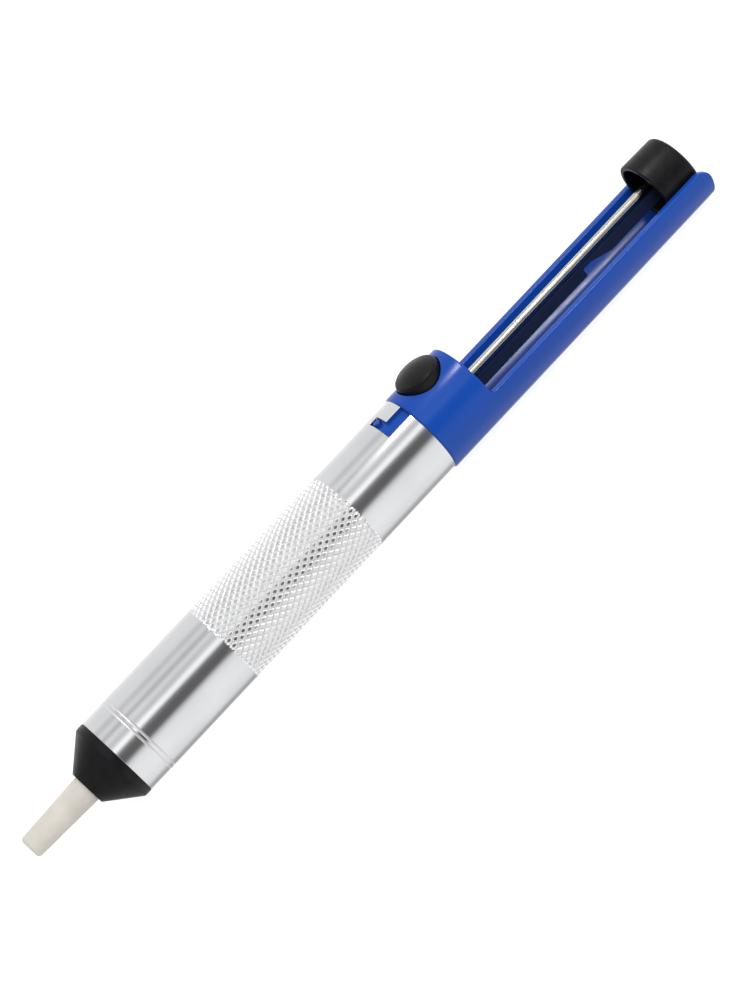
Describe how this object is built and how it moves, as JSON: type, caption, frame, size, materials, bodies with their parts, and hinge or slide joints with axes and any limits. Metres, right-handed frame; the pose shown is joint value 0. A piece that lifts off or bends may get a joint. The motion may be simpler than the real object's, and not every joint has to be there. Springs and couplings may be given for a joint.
{
  "type": "desoldering pump",
  "caption": "Spring-loaded solder sucker with a knurled metal barrel, tapered nozzle, side release button and a guarded plunger with a knob.",
  "frame": {"origin": "centre of the nozzle's mouth, on the tool's long axis", "axes": "+X along the tool from the nozzle's mouth to the knob; +Z towards the release button and the guard's open side; the tool lies on its back with the button up"},
  "size_m": [0.1934, 0.0196, 0.0218],
  "materials": {
    "barrel_aluminium": "polished, with a knurled band",
    "blue_plastic": "satin moulded plastic",
    "black_plastic": "fine matt moulded plastic",
    "nozzle_plastic": "waxy heat-resistant plastic",
    "bar_plastic": "smooth dark plastic",
    "rod_steel": "polished rod",
    "spring_steel": "drawn wire",
    "pressed_steel": "pressed sheet",
    "brass": "turned",
    "seal_rubber": "greased rubber"
  },
  "bodies": {
    "barrel_body": {"nozzle": "nozzle_plastic", "nozzle_seal": "seal_rubber", "nose_cone": "black_plastic", "nose_o_ring": "seal_rubber", "barrel": "barrel_aluminium", "spring_seat": "pressed_steel", "main_spring": "spring_steel"},
    "housing": {"upper_housing": "blue_plastic", "guide_bush": "black_plastic", "bumper": "seal_rubber", "latch_spring": "spring_steel"},
    "plunger": {"plunger_knob": "black_plastic", "piston_rod": "rod_steel", "latch_bar": "bar_plastic", "piston": "black_plastic", "piston_o_ring": "seal_rubber", "piston_pin": "pressed_steel", "spring_washer": "pressed_steel", "pin_collar": "brass", "cleaning_pin": "rod_steel"},
    "button": {"release_button": "black_plastic", "latch_slider": "pressed_steel"}
  },
  "joints": [
    {"name": "bayonet_twist", "type": "hinge", "parent": "barrel_body", "child": "housing", "pos_m": [0.1141, 0, 0], "axis": [1, 0, 0], "range_deg": [0, 25]},
    {"name": "plunger_slide", "type": "slide", "parent": "housing", "child": "plunger", "axis": [-1, 0, 0], "range_m": [0, 0.0421], "stiffness_N_per_m": 350, "springref_m": -0.015, "deforming": ["main_spring"]},
    {"name": "button_press", "type": "slide", "parent": "housing", "child": "button", "axis": [0, 0, -1], "range_m": [0, 0.0018], "stiffness_N_per_m": 400, "springref_m": -0.002, "deforming": ["latch_spring"]}
  ]
}
